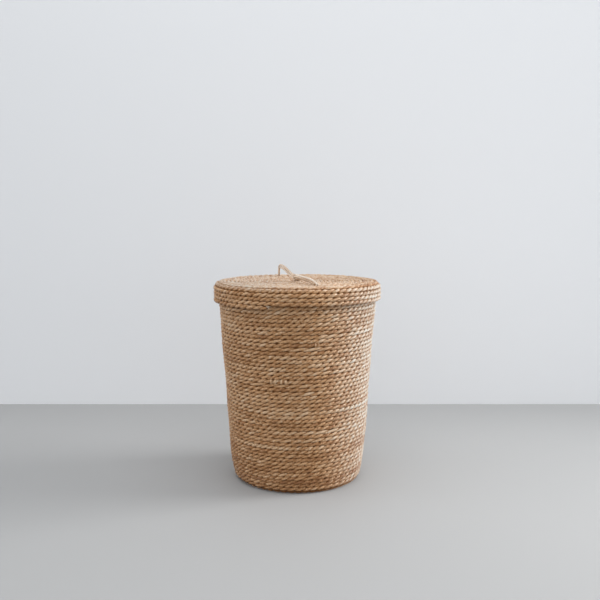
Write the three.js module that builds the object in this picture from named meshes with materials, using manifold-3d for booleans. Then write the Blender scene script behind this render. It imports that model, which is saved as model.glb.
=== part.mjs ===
// Lidded storage basket, coiled from one plied natural-fibre rope and sewn course to course.
// Millimetres, +Z up. The origin is in the middle of the underside, on the floor, and the front is -Y.
//
// The rope starts in the middle of the base, winds outwards anticlockwise as seen from above, and
// climbs the wall one course a turn. The lid's rope also winds outwards anticlockwise, then goes on down
// the skirt and ends at the front left. A cord is tied through the middle of the lid.

import * as THREE from 'three';
import { mergeVertices } from 'three/addons/utils/BufferGeometryUtils.js';
import Module from 'manifold-3d';

const wasm = await Module();
wasm.setup();

// Rope and fits
const ROPE = 9.6; // thickness of the rope, which is the height of one course
const GROOVE = 2.0; // how far the surface falls back between two courses
const SEAT_GAP = 0.3; // clearance between pieces that touch

// Basket
const LOWER_COURSES = 15; // courses of the first length of rope on the wall
const MIDDLE_COURSES = 21; // courses of the second length
const UPPER_COURSES = 14; // courses of the third length, up to the rim
const MOUTH_RADIUS = 198; // outside of the wall under the lid
const UPRIGHT = 35; // height below the rim over which the wall stands upright
const TAPER = 0.0685; // how much the radius shrinks for each millimetre further down
const FOOT_DRAW = 9.3; // how far the wall is drawn in at the floor, below the straight taper
const FOOT_REACH = 31; // height over which that draw fades to about a third
const BASE_EDGE = 4.2; // radius of the rounded lower edge of the base

// Lid
const SKIRT_COURSES = 3; // full courses below the lip, before the last one runs out
const ROPE_END_STEPS = -2; // where the last course ends, in segments from the front, so at the front left
const SKIRT_CLEARANCE = 2.4; // play between the skirt and the wall inside it
const LID_LIP = 4.1; // how far the lid's top piece reaches down over the rim
const LID_SHOULDER = 18; // width of the rounded shoulder between the flat top and the skirt
const LID_DISH = 3; // how far the middle of the lid sags

// Handle
const CORD = 5.0; // thickness of the handle's cord
const CORD_SIDES = 8;
const HOLE_OFFSET = 8; // distance of each cord hole from the middle of the lid
const HOLE_CLEARANCE = 0.8; // play round the cord in its hole
const ANCHOR_BEND = 3.0; // bend radius of the cord where it turns under the lid
const KNOT_SIZE = 5.6; // mean distance of the knot's cord from the middle, a little more than the cord
const KNOT_SWING = 0.46; // share of that distance by which the cord swings in and out
const KNOT_RISE = 3.6; // how far the cord passes over and under the middle height of the knot
const KNOT_TURN = (2 * Math.PI) / 15; // turns one lobe of the knot towards the loop
const KNOT_STEPS = 48;
const LOOP_STEPS = 48;
const TAIL_STEPS = 16;
const ANCHOR_STEPS = 18;
const QUARTER_CIRCLE = 0.5523; // how far a cubic curve's control points reach to follow a quarter circle

// Fineness of the round pieces
const SEGMENTS = 32;
const INNER_RINGS = 6; // rings down the inside of each length of wall
const DISH_RINGS = 6; // rings of the lid's dished underside
const EDGE_STEPS = 4;

// Heights and radii that follow from these
const WALL_COURSES = LOWER_COURSES + MIDDLE_COURSES + UPPER_COURSES;
const WALL_BOTTOM = ROPE + SEAT_GAP;
const RIM = WALL_BOTTOM + WALL_COURSES * ROPE;
const LOWER_JOIN = WALL_BOTTOM + LOWER_COURSES * ROPE;
const UPPER_JOIN = LOWER_JOIN + MIDDLE_COURSES * ROPE;
const LID_UNDERSIDE = RIM + SEAT_GAP;
const LID_TOP = LID_UNDERSIDE + ROPE;
const LIP_BOTTOM = LID_UNDERSIDE - LID_LIP;
const SKIRT_TOP = LIP_BOTTOM - SEAT_GAP;
const SKIRT_INSIDE = MOUTH_RADIUS + SKIRT_CLEARANCE;
const LID_RADIUS = SKIRT_INSIDE + ROPE;
const RIM_INSIDE = MOUTH_RADIUS - ROPE;
const DISC_MIDDLE_TOP = LID_TOP - LID_DISH;

// Outside radius of the wall: upright under the lid, then a straight taper, drawn in towards the floor
function wallRadius(height) {
  const below = Math.max(0, RIM - UPRIGHT - height);
  return MOUTH_RADIUS - TAPER * below - FOOT_DRAW * Math.exp(-Math.max(height, 0) / FOOT_REACH);
}

// How far the lid sags at a distance from its middle: a shallow bowl inside the rim
function dish(radius) {
  return LID_DISH * Math.max(0, 1 - (radius / RIM_INSIDE) ** 2);
}

// Height of the lid's top surface: dished, then falling over the shoulder as a quarter of an ellipse
function lidTop(radius) {
  const over = (radius - (LID_RADIUS - LID_SHOULDER)) / LID_SHOULDER;
  if (over <= 0) return LID_TOP - dish(radius);
  const drop = (ROPE + LID_LIP) * (1 - Math.sqrt(Math.max(0, 1 - over ** 2)));
  return LID_TOP - drop - ROPE * Math.max(0, over - 1);
}

// A closed solid from a geometry, with its shared points merged and its faces turned outwards
function solid(geometry) {
  const bare = new THREE.BufferGeometry();
  bare.setAttribute('position', geometry.getAttribute('position'));
  bare.setIndex(geometry.getIndex());
  const merged = mergeVertices(bare, 1e-4);
  const vertProperties = new Float32Array(merged.getAttribute('position').array);
  const corners = Array.from(merged.getIndex().array);
  const triangles = [];
  let volume = 0;
  const at = (corner) => new THREE.Vector3().fromArray(vertProperties, 3 * corner);
  for (let i = 0; i < corners.length; i += 3) {
    const [a, b, c] = corners.slice(i, i + 3);
    if (a === b || b === c || c === a) continue;
    volume += at(a).dot(at(b).cross(at(c)));
    triangles.push([a, b, c]);
  }
  const triVerts = new Uint32Array(triangles.flatMap(([a, b, c]) => (volume > 0 ? [a, b, c] : [a, c, b])));
  return new wasm.Manifold(new wasm.Mesh({ numProp: 3, vertProperties, triVerts }));
}

function geometryOf(manifold) {
  const mesh = manifold.getMesh();
  const geometry = new THREE.BufferGeometry();
  geometry.setAttribute('position', new THREE.BufferAttribute(new Float32Array(mesh.vertProperties), 3));
  geometry.setIndex(new THREE.BufferAttribute(new Uint32Array(mesh.triVerts), 1));
  const split = geometry.toNonIndexed();
  split.computeVertexNormals();
  return split;
}

// A solid of revolution about Z from a closed outline of [radius, height] pairs, starting at the front
function turned(outline) {
  const points = [...outline, outline[0]].map(([radius, height]) => new THREE.Vector2(radius, height));
  const geometry = new THREE.LatheGeometry(points, SEGMENTS);
  geometry.rotateX(Math.PI / 2);
  return solid(geometry);
}

// The solid inside one unbroken ridge that winds round Z and moves on by one course a turn.
// place(course, depth) gives [radius, height] of the surface, where depth is 0 on the crown of a course
// and GROOVE between two courses. The winding is anticlockwise from above, and it starts and ends the
// given number of segments from the front. A fan of faces closes each end to a pole on the axis.
function wound(place, turns, startSteps, firstPole, lastPole) {
  const positions = [];
  const corners = [];
  const put = (course, depth, step) => {
    const [radius, height] = place(course, depth);
    const angle = ((step + startSteps) / SEGMENTS) * 2 * Math.PI - Math.PI / 2;
    positions.push(radius * Math.cos(angle), radius * Math.sin(angle), height);
  };
  const steps = turns * SEGMENTS;
  for (let i = 0; i <= steps + SEGMENTS; i++) put(i / SEGMENTS, GROOVE, i);
  const firstCrown = positions.length / 3;
  for (let i = 0; i <= steps; i++) put(i / SEGMENTS + 0.5, 0, i);
  const first = positions.length / 3;
  const last = first + 1;
  positions.push(0, 0, firstPole, 0, 0, lastPole);

  const groove = (i) => i;
  const crown = (i) => firstCrown + i;
  const nextGroove = (i) => i + SEGMENTS;
  for (let i = 0; i < steps; i++) {
    corners.push(groove(i), groove(i + 1), crown(i + 1), groove(i), crown(i + 1), crown(i));
    corners.push(crown(i), crown(i + 1), nextGroove(i + 1), crown(i), nextGroove(i + 1), nextGroove(i));
  }
  for (let i = 0; i < SEGMENTS; i++) {
    corners.push(groove(i + 1), groove(i), first);
    corners.push(groove(steps + i), groove(steps + i + 1), last);
  }
  corners.push(groove(0), crown(0), first, crown(0), nextGroove(0), first);
  corners.push(crown(steps), groove(steps), last, nextGroove(steps), crown(steps), last);

  const geometry = new THREE.BufferGeometry();
  geometry.setAttribute('position', new THREE.Float32BufferAttribute(positions, 3));
  geometry.setIndex(corners);
  return solid(geometry);
}

// Base: the flat coil that the basket stands on, plain on both faces, with a rounded lower edge
function baseCoil() {
  const edge = wallRadius(ROPE / 2);
  const outline = [[0, 0]];
  for (let k = 0; k <= EDGE_STEPS; k++) {
    const turn = (k / EDGE_STEPS) * Math.PI / 2;
    outline.push([edge - BASE_EDGE + BASE_EDGE * Math.sin(turn), BASE_EDGE - BASE_EDGE * Math.cos(turn)]);
  }
  outline.push([edge, ROPE], [0, ROPE]);
  return turned(outline);
}

// One length of wound wall between two heights
function wallCoil(low, high) {
  const start = low - 2 * ROPE;
  const turns = Math.ceil((high - low) / ROPE) + 3;
  const place = (course, depth) => {
    const height = start + ROPE * course;
    return [wallRadius(height) - depth, height];
  };
  const windings = wound(place, turns, 0, start - ROPE, start + ROPE * (turns + 2));
  const outline = [[LID_RADIUS, low], [LID_RADIUS, high]];
  for (let k = INNER_RINGS; k >= 0; k--) {
    const height = low + ((high - low) * k) / INNER_RINGS;
    outline.push([wallRadius(height) - ROPE, height]);
  }
  return windings.intersect(turned(outline));
}

// The outline round two cords side by side, which is wide along its first axis
function cordPair(play) {
  const half = (CORD + play) / 2;
  const shape = new THREE.Shape();
  shape.absarc(CORD / 2, 0, half, -Math.PI / 2, Math.PI / 2, false);
  shape.absarc(-CORD / 2, 0, half, Math.PI / 2, (3 * Math.PI) / 2, false);
  return shape;
}

// Top of the lid: a wound disc with a rounded shoulder, a lip over the rim and two holes for the cord
function lidDiscCoil() {
  const outline = [];
  for (let k = 0; k <= DISH_RINGS; k++) {
    const radius = (RIM_INSIDE * k) / DISH_RINGS;
    outline.push([radius, LID_UNDERSIDE - dish(radius)]);
  }
  outline.push([SKIRT_INSIDE, LID_UNDERSIDE], [SKIRT_INSIDE, LIP_BOTTOM]);
  outline.push([LID_RADIUS, LIP_BOTTOM], [LID_RADIUS, LID_TOP + ROPE], [0, LID_TOP + ROPE]);
  const turns = Math.ceil(LID_RADIUS / ROPE) + 1;
  const place = (course, depth) => {
    const radius = ROPE * (course + 0.3);
    return [radius, lidTop(radius) - depth];
  };
  const windings = wound(place, turns, 0, DISC_MIDDLE_TOP, -100 * ROPE);
  let disc = windings.intersect(turned(outline));
  for (const side of [-1, 1]) {
    const hole = new THREE.ExtrudeGeometry(cordPair(HOLE_CLEARANCE), {
      depth: 4 * ROPE,
      bevelEnabled: false,
      curveSegments: 4,
    });
    hole.rotateZ(Math.PI / 2);
    hole.translate(side * HOLE_OFFSET, 0, LID_UNDERSIDE - 2 * ROPE);
    disc = disc.subtract(solid(hole));
  }
  return disc;
}

// Skirt of the lid, wound on downwards from the disc. Its lower edge follows the last course to its end.
function lidSkirtCoil() {
  const spare = 2; // courses above the skirt's top, which are cut off
  const turns = spare + SKIRT_COURSES;
  const start = SKIRT_TOP + spare * ROPE;
  const lowest = start - (turns + 1) * ROPE;
  const place = (course, depth) => [LID_RADIUS - depth, start - ROPE * course];
  const windings = wound(place, turns, ROPE_END_STEPS, start, lowest + ROPE / 2);
  const outline = [
    [SKIRT_INSIDE, lowest - ROPE],
    [LID_RADIUS + ROPE, lowest - ROPE],
    [LID_RADIUS + ROPE, SKIRT_TOP],
    [SKIRT_INSIDE, SKIRT_TOP],
  ];
  return windings.intersect(turned(outline));
}

function roundSection(thickness, sides) {
  const corners = [];
  for (let k = 0; k < sides; k++) {
    const angle = ((k + 0.5) / sides) * 2 * Math.PI;
    corners.push(new THREE.Vector2(Math.cos(angle), Math.sin(angle)).multiplyScalar(thickness / 2));
  }
  return new THREE.Shape(corners);
}

function cordRoute(points) {
  const places = points.map(([x, y, z]) => new THREE.Vector3(x, y, z));
  return new THREE.CatmullRomCurve3(places, false, 'centripetal');
}

function cordAlong(route, steps, section = roundSection(CORD, CORD_SIDES)) {
  const options = { steps, extrudePath: route, bevelEnabled: false, curveSegments: 4 };
  return solid(new THREE.ExtrudeGeometry(section, options));
}

// The doubled cord under the lid: up through one hole, across under the middle, and up the other
function handleAnchor() {
  const low = LID_UNDERSIDE - LID_DISH - SEAT_GAP - CORD / 2;
  const bend = ANCHOR_BEND * QUARTER_CIRCLE;
  const at = (x, z) => new THREE.Vector3(x, 0, z);
  const leg = (side) => [at(side * HOLE_OFFSET, DISC_MIDDLE_TOP), at(side * HOLE_OFFSET, low + ANCHOR_BEND)];
  const turn = (side) => [
    at(side * HOLE_OFFSET, low + ANCHOR_BEND),
    at(side * HOLE_OFFSET, low + ANCHOR_BEND - bend),
    at(side * (HOLE_OFFSET - ANCHOR_BEND + bend), low),
    at(side * (HOLE_OFFSET - ANCHOR_BEND), low),
  ];
  const path = new THREE.CurvePath();
  path.add(new THREE.LineCurve3(...leg(-1)));
  path.add(new THREE.CubicBezierCurve3(...turn(-1)));
  path.add(new THREE.LineCurve3(turn(-1)[3], turn(1)[3]));
  path.add(new THREE.CubicBezierCurve3(...turn(1).reverse()));
  path.add(new THREE.LineCurve3(...leg(1).reverse()));
  return cordAlong(path, ANCHOR_STEPS, cordPair(0));
}

// Route of the knot's cord: a trefoil that goes round twice while it swings in and out three times
class KnotRoute extends THREE.Curve {
  getPoint(part, point = new THREE.Vector3()) {
    const angle = part * 4 * Math.PI;
    const swing = 1.5 * angle;
    const radius = KNOT_SIZE * (1 + KNOT_SWING * Math.cos(swing));
    const middle = DISC_MIDDLE_TOP + SEAT_GAP + CORD / 2 + KNOT_RISE;
    const place = angle + KNOT_TURN;
    return point.set(radius * Math.cos(place), radius * Math.sin(place), middle + KNOT_RISE * Math.sin(swing));
  }
}

// The knot on top of the lid, which closes on itself. The loop and the long end leave over its top.
function handleKnot() {
  return solid(new THREE.TubeGeometry(new KnotRoute(), KNOT_STEPS, CORD / 2, CORD_SIDES, true));
}

// Route of the loop: over the knot to the back left, over the top, down to the lid, and back below
const LOOP_POINTS = [
  [-3.4, -1.4, 512.2],
  [-6.6, 4.3, 512.3],
  [-10.0, 10.8, 512.8],
  [-15.4, 23.6, 515.0],
  [-20.1, 37.6, 517.9],
  [-24.9, 54.6, 521.2],
  [-31.5, 81.5, 525.2],
  [-37.3, 105.7, 527.8],
  [-41.6, 123.2, 528.6],
  [-42.8, 128.0, 528.6],
  [-44.1, 132.8, 528.5],
  [-45.4, 137.7, 528.3],
  [-46.7, 142.5, 528.0],
  [-47.9, 147.2, 527.1],
  [-49.0, 151.7, 525.4],
  [-50.1, 155.8, 522.8],
  [-50.9, 159.1, 519.3],
  [-51.4, 161.1, 514.9],
  [-51.4, 161.4, 510.2],
  [-51.3, 159.6, 505.9],
  [-50.9, 155.8, 502.9],
  [-50.6, 151.1, 501.8],
  [-50.2, 146.4, 502.4],
  [-49.8, 142.2, 504.7],
  [-49.7, 139.4, 508.5],
  [-49.6, 138.2, 513.0],
  [-49.3, 136.9, 517.4],
  [-48.4, 134.0, 520.9],
  [-47.0, 129.9, 523.0],
  [-45.3, 125.3, 523.6],
  [-43.7, 120.8, 523.5],
  [-42.1, 116.0, 523.1],
  [-36.7, 97.9, 521.2],
  [-31.1, 76.9, 518.1],
  [-24.8, 50.0, 513.8],
  [-19.8, 31.9, 510.5],
  [-14.4, 19.0, 507.2],
  [-8.2, 7.3, 504.0],
];

// Routes of the two free ends, which arch to the front right and come to rest on the lid
const LONG_TAIL_POINTS = [
  [-3.2, -1.9, 512.2],
  [0.2, -7.8, 512.0],
  [3.8, -14.2, 511.4],
  [12.0, -30.0, 510.5],
  [23.0, -55.0, 509.9],
  [32.1, -84.0, 509.0],
  [38.8, -112.0, 507.6],
  [44.4, -138.0, 505.0],
  [48.2, -160.0, 502.1],
];
const SHORT_TAIL_POINTS = [
  [1.4, -10.9, 504.5],
  [4.9, -19.4, 505.0],
  [9.4, -29.4, 504.9],
  [20.2, -55.0, 504.2],
  [28.6, -84.0, 503.2],
  [35.0, -112.0, 502.2],
  [38.9, -134.0, 501.5],
  [41.0, -150.0, 501.6],
];

// Least distance between two stretches of a route that lie further apart along it than they do across
function leastGap(route, samples) {
  const points = route.getSpacedPoints(samples);
  const spacing = route.getLength() / samples;
  const apart = Math.ceil((3 * CORD) / spacing);
  let least = Infinity;
  for (let i = 0; i < points.length; i++) {
    for (let j = i + apart; j < points.length; j++) {
      least = Math.min(least, points[i].distanceTo(points[j]));
    }
  }
  return least - CORD;
}

const loopRoute = cordRoute(LOOP_POINTS);
const longTailRoute = cordRoute(LONG_TAIL_POINTS);
const shortTailRoute = cordRoute(SHORT_TAIL_POINTS);

const rope = { color: 0xb08a60, roughness: 0.9, metalness: 0 };
const lidRope = { color: 0xc09c74, roughness: 0.9, metalness: 0 };
const paleCord = { color: 0xdcc3a2, roughness: 0.85, metalness: 0 };

const basket = new THREE.Group();
basket.name = 'basket';
const lid = new THREE.Group();
lid.name = 'lid';

function piece(parent, name, manifold, finish) {
  const mesh = new THREE.Mesh(geometryOf(manifold), new THREE.MeshStandardMaterial(finish));
  mesh.name = name;
  parent.add(mesh);
}

piece(basket, 'base_coil', baseCoil(), rope);
piece(basket, 'wall_coil_lower', wallCoil(WALL_BOTTOM, LOWER_JOIN), rope);
piece(basket, 'wall_coil_middle', wallCoil(LOWER_JOIN + SEAT_GAP, UPPER_JOIN), rope);
piece(basket, 'wall_coil_upper', wallCoil(UPPER_JOIN + SEAT_GAP, RIM), rope);
piece(lid, 'lid_disc_coil', lidDiscCoil(), lidRope);
piece(lid, 'lid_skirt_coil', lidSkirtCoil(), lidRope);
piece(lid, 'handle_anchor', handleAnchor(), paleCord);
piece(lid, 'handle_knot', handleKnot(), paleCord);
piece(lid, 'handle_loop', cordAlong(loopRoute, LOOP_STEPS), paleCord);
piece(lid, 'handle_tail_long', cordAlong(longTailRoute, TAIL_STEPS), paleCord);
piece(lid, 'handle_tail_short', cordAlong(shortTailRoute, TAIL_STEPS), paleCord);

console.log('loop length', loopRoute.getLength().toFixed(1));
console.log('least gap of the loop to itself', leastGap(loopRoute, 400).toFixed(2));
console.log('tail lengths', longTailRoute.getLength().toFixed(1), shortTailRoute.getLength().toFixed(1));

const group = new THREE.Group();
group.name = 'lidded_storage_basket';
group.add(basket, lid);

export default group;
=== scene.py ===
# %% [markdown]
# This script dresses a lidded storage basket, which is coiled from one long rope, and lights it.
# The frame gives every solid's place. The rope is built strand by strand along the path that a maker's
# hands would lay it, because the small gaps between real strands are what makes coiled work look coiled.

# %% Load the frame
import math

import bpy
import numpy as np
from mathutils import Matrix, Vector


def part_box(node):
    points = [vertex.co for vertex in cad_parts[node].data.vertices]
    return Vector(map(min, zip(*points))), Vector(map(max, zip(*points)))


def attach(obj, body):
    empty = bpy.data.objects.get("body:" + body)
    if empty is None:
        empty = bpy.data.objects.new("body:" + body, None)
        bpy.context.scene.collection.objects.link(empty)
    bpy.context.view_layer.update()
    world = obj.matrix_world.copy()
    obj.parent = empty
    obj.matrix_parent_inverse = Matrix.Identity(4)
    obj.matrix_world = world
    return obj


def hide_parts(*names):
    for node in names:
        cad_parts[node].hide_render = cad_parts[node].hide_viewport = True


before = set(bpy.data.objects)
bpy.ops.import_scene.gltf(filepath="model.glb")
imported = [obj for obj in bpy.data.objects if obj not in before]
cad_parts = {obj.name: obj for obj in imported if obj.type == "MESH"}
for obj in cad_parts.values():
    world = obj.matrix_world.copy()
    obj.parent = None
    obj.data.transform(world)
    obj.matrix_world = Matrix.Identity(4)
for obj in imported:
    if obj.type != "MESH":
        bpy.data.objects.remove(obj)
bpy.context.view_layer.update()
MM = 0.001

# %% [markdown]
# The camera comes first, so that the free cords can be measured against what it sees. Its height and
# tilt follow from how flat the lid's ellipse looks and from where the floor meets the wall.

# %% Camera
CAMERA_PLACE = (6.8, -1886.6, 659.4)
CAMERA_TILT_DOWN = 6.369
LENS = 45.0
SENSOR = 36.0

lens = bpy.data.cameras.new("camera")
lens.lens = LENS
lens.sensor_width = SENSOR
lens.clip_end = 100
camera = bpy.data.objects.new("camera", lens)
camera.location = [MM * value for value in CAMERA_PLACE]
camera.rotation_euler = (math.radians(90 - CAMERA_TILT_DOWN), 0, 0)
bpy.context.scene.collection.objects.link(camera)
bpy.context.scene.camera = camera
print("camera", [round(value, 4) for value in camera.location], "lens", lens.lens)

# %% [markdown]
# A few small tools for arrays of points. A smooth route passes through given points. A wander
# is a slow, seeded drift, and drifts are a sum of them, for everything that handwork leaves uneven.

# %% Tools for paths
CURVE_SAMPLES = 40


def unit(vectors):
    """Each vector divided by its own length."""
    return vectors / np.linalg.norm(vectors, axis=-1, keepdims=True)


def distances(points):
    """How far along a line each of its points lies: the running sum of the steps between them."""
    return np.concatenate([[0], np.cumsum(np.linalg.norm(np.diff(points, axis=0), axis=1))])


def spaced(points, step):
    """Points a fixed step apart along a line, found by measuring along it."""
    along = distances(points)
    count = max(2, int(round(along[-1] / step)) + 1)
    wanted = np.linspace(0, along[-1], count)
    return np.column_stack([np.interp(wanted, along, column) for column in points.T])


def smooth_route(points, step):
    """A centripetal Catmull-Rom curve: between two points it is a cubic whose slopes come from the
    neighbours, each weighed by the square root of its distance."""
    p = np.array(points, float)
    p = np.vstack([2 * p[0] - p[1], p, 2 * p[-1] - p[-2]])
    gap = np.sqrt(np.linalg.norm(np.diff(p, axis=0), axis=1))[:, None]
    before, here, after = gap[:-2], gap[1:-1], gap[2:]
    p0, p1, p2, p3 = p[:-3], p[1:-2], p[2:-1], p[3:]
    leave = here * ((p1 - p0) / before - (p2 - p0) / (before + here) + (p2 - p1) / here)
    arrive = here * ((p2 - p1) / here - (p3 - p1) / (here + after) + (p3 - p2) / after)
    u = np.linspace(0, 1, CURVE_SAMPLES)[None, :, None]
    start, end, leave, arrive = (part[:, None] for part in (p1, p2, leave, arrive))
    curve = (2 * u**3 - 3 * u**2 + 1) * start + (u**3 - 2 * u**2 + u) * leave
    curve = curve + (3 * u**2 - 2 * u**3) * end + (u**3 - u**2) * arrive
    return spaced(np.vstack([curve[:, :-1].reshape(-1, 3), p2[-1]]), step)


def wander(along, spacing, seed):
    """A smooth drift between -1 and 1: a random value every `spacing`, eased from one to the next."""
    place = (along - along.min()) / spacing
    knot = place.astype(int)
    values = np.random.default_rng(seed).uniform(-1, 1, knot.max() + 2)
    ease = place - knot
    ease = ease * ease * (3 - 2 * ease)
    return values[knot] * (1 - ease) + values[knot + 1] * ease


def drifts(along, parts, seed):
    """A sum of wanders. Each part is a weight, a spacing and what is added to the seed."""
    return sum(weight * wander(along, spacing, seed + extra) for weight, spacing, extra in parts)


# %% [markdown]
# A rope is a few strands wound round one path. Each strand is a tube whose middle runs on a helix, and
# its section is a little wider across than it is deep and has flattened sides, because the strands press
# on each other. The points carry attributes for the material: their place along and round the strand,
# the strand's own tone, and how open or hidden they are.

# %% Strands
FLATTENED = 0.8
LUMP_WAVES = 9
LUMP_LENGTHS = (5.5, 19)
LUMP_TURNS = 4


def flattened(wave):
    """A sine or cosine raised to a power below one, with its sign, which squares the ellipse a little."""
    return np.sign(wave) * np.abs(wave) ** FLATTENED


def strand_rings(path, outward, turn, offset, depth, width, sides):
    """Rings round one strand. Its middle is the path plus `offset` along a spoke that is turned by
    `turn` from the outward direction, and a ring is a squared ellipse of half axes `depth` and `width`."""
    along = unit(np.gradient(path, axis=0))
    upward = unit(np.cross(outward, along))
    outward = np.cross(along, upward)
    spoke = np.cos(turn)[:, None] * outward + np.sin(turn)[:, None] * upward
    middle = path + offset[:, None] * spoke
    run = unit(np.gradient(middle, axis=0))
    across = unit(np.cross(run, spoke))
    spoke = np.cross(across, run)
    angle = np.linspace(0, 2 * np.pi, sides, endpoint=False)
    deep = depth[:, None, None] * flattened(np.cos(angle))[None, :, None] * spoke[:, None]
    wide = width[:, None, None] * flattened(np.sin(angle))[None, :, None] * across[:, None]
    rings = middle[:, None] + deep + wide
    openness = np.einsum("ijk,ik->ij", rings - path[:, None], outward)
    return rings, angle, openness


def add_attribute(mesh, name, kind, values):
    """Stores a number or a vector on each point of the mesh."""
    field = "vector" if kind == "FLOAT_VECTOR" else "value"
    attribute = mesh.attributes.new(name, kind, "POINT")
    attribute.data.foreach_set(field, values.astype(np.float32).ravel())


def tubes_object(name, tubes):
    """One mesh of closed tubes, in metres. A tube is its rings in millimetres and its attributes. Quads
    join each ring to the next, and a fan of triangles round its mean point closes each end ring."""
    points, faces, fibre, tone, openness = [], [], [], [], []
    base = 0
    for tube in tubes:
        rings = tube["rings"]
        count, sides = rings.shape[:2]
        grid = base + np.arange(count * sides).reshape(count, sides)
        after = np.roll(grid, -1, axis=1)
        quads = np.stack([grid[:-1], after[:-1], after[1:], grid[1:]], axis=-1).reshape(-1, 4)
        faces.append(quads)
        points.append(rings.reshape(-1, 3))
        fibre.append(tube["fibre"].reshape(-1, 3))
        tone.append(tube["tone"].reshape(-1))
        openness.append(tube["openness"].reshape(-1))
        first = base + count * sides
        for ring, flip in ((0, True), (count - 1, False)):
            loop = grid[ring]
            nxt = after[ring]
            pole = np.full(sides, first)
            order = (pole, nxt, loop, loop) if flip else (pole, loop, nxt, nxt)
            faces.append(np.stack(order, axis=-1))
            points.append(rings[ring].mean(axis=0)[None])
            fibre.append(tube["fibre"][ring].mean(axis=0)[None])
            tone.append(tube["tone"][ring].mean(keepdims=True))
            openness.append(tube["openness"][ring].mean(keepdims=True))
            first += 1
        base = first
    points = np.vstack(points) * MM
    faces = np.vstack(faces)
    is_quad = faces[:, 3] != faces[:, 2]
    sizes = np.where(is_quad, 4, 3)
    keep = np.ones(faces.shape, bool)
    keep[~is_quad, 3] = False
    mesh = bpy.data.meshes.new(name)
    mesh.vertices.add(len(points))
    mesh.vertices.foreach_set("co", points.astype(np.float32).ravel())
    mesh.loops.add(int(sizes.sum()))
    mesh.loops.foreach_set("vertex_index", faces[keep].astype(np.int32))
    mesh.polygons.add(len(faces))
    mesh.polygons.foreach_set("loop_start", np.concatenate([[0], np.cumsum(sizes)[:-1]]).astype(np.int32))
    mesh.update(calc_edges=True)
    mesh.polygons.foreach_set("use_smooth", np.ones(len(faces), bool))
    add_attribute(mesh, "fibre", "FLOAT_VECTOR", np.vstack(fibre))
    add_attribute(mesh, "tone", "FLOAT", np.concatenate(tone))
    add_attribute(mesh, "openness", "FLOAT", np.concatenate(openness))
    piece = bpy.data.objects.new(name, mesh)
    bpy.context.scene.collection.objects.link(piece)
    return piece


def lumps(along, angle, seed):
    """Unevenness of a strand's surface: a sum of waves that run along it and round it at once, divided
    by the square root of their number."""
    rng = np.random.default_rng(seed)
    total = np.zeros((len(along), len(angle)))
    for wave in range(LUMP_WAVES):
        length = rng.uniform(*LUMP_LENGTHS)
        around = rng.integers(0, LUMP_TURNS)
        phase = rng.uniform(0, 2 * np.pi)
        total += np.sin(2 * np.pi * along[:, None] / length + around * angle[None] + phase)
    return total / math.sqrt(LUMP_WAVES)


def tube(path, outward, turn, offset, depth, width, sides, seed, tone, reach, lump=0.0):
    """A strand's rings with what its material reads. The fibre coordinate is the unrolled strand: along
    it, and round it, so that a stretched noise gives fibres that follow the strand. `lump` is how many
    millimetres the surface swells and sinks."""
    rings, angle, openness = strand_rings(path, outward, turn, offset, depth, width, sides)
    count = len(path)
    along = distances(path)
    if lump:
        middle = rings.mean(axis=1, keepdims=True)
        rings = rings + lump * lumps(along, angle, seed)[..., None] * unit(rings - middle)
    shift = 1000 * np.random.default_rng(seed).random(3)
    fibre = np.empty((count, sides, 3))
    fibre[..., 0] = along[:, None]
    fibre[..., 1] = depth[:, None] * np.cos(angle)
    fibre[..., 2] = width[:, None] * np.sin(angle)
    return {
        "rings": rings,
        "fibre": fibre + shift,
        "tone": np.repeat(tone[:, None], sides, axis=1),
        "openness": openness / reach,
    }


# %% [markdown]
# The handle is one pale cord. A loop stands up to the back left and two free ends arch to the front
# right. They are soft, and each lies on the same listed points as its solid in the frame.

# %% Handle cords
CORD = 5.0
CORD_PLIES = 3
CORD_LAY = 15.0
PLY_OFFSET = 1.15
PLY_DEPTH = 1.42
PLY_WIDTH = 1.62
PLY_SIDES = 10
CORD_STEP = 1.2
CORD_TONE_DRIFT = 0.25
CORD_TONE_SPACING = 22
LOOP_POINTS = [
    (-3.4, -1.4, 512.2), (-6.6, 4.3, 512.3), (-10.0, 10.8, 512.8), (-15.4, 23.6, 515.0),
    (-20.1, 37.6, 517.9), (-24.9, 54.6, 521.2), (-31.5, 81.5, 525.2), (-37.3, 105.7, 527.8),
    (-41.6, 123.2, 528.6), (-42.8, 128.0, 528.6), (-44.1, 132.8, 528.5), (-45.4, 137.7, 528.3),
    (-46.7, 142.5, 528.0), (-47.9, 147.2, 527.1), (-49.0, 151.7, 525.4), (-50.1, 155.8, 522.8),
    (-50.9, 159.1, 519.3), (-51.4, 161.1, 514.9), (-51.4, 161.4, 510.2), (-51.3, 159.6, 505.9),
    (-50.9, 155.8, 502.9), (-50.6, 151.1, 501.8), (-50.2, 146.4, 502.4), (-49.8, 142.2, 504.7),
    (-49.7, 139.4, 508.5), (-49.6, 138.2, 513.0), (-49.3, 136.9, 517.4), (-48.4, 134.0, 520.9),
    (-47.0, 129.9, 523.0), (-45.3, 125.3, 523.6), (-43.7, 120.8, 523.5), (-42.1, 116.0, 523.1),
    (-36.7, 97.9, 521.2), (-31.1, 76.9, 518.1), (-24.8, 50.0, 513.8), (-19.8, 31.9, 510.5),
    (-14.4, 19.0, 507.2), (-8.2, 7.3, 504.0),
]
LONG_TAIL_POINTS = [
    (-3.2, -1.9, 512.2), (0.2, -7.8, 512.0), (3.8, -14.2, 511.4), (12.0, -30.0, 510.5),
    (23.0, -55.0, 509.9), (32.1, -84.0, 509.0), (38.8, -112.0, 507.6), (44.4, -138.0, 505.0),
    (48.2, -160.0, 502.1),
]
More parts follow.
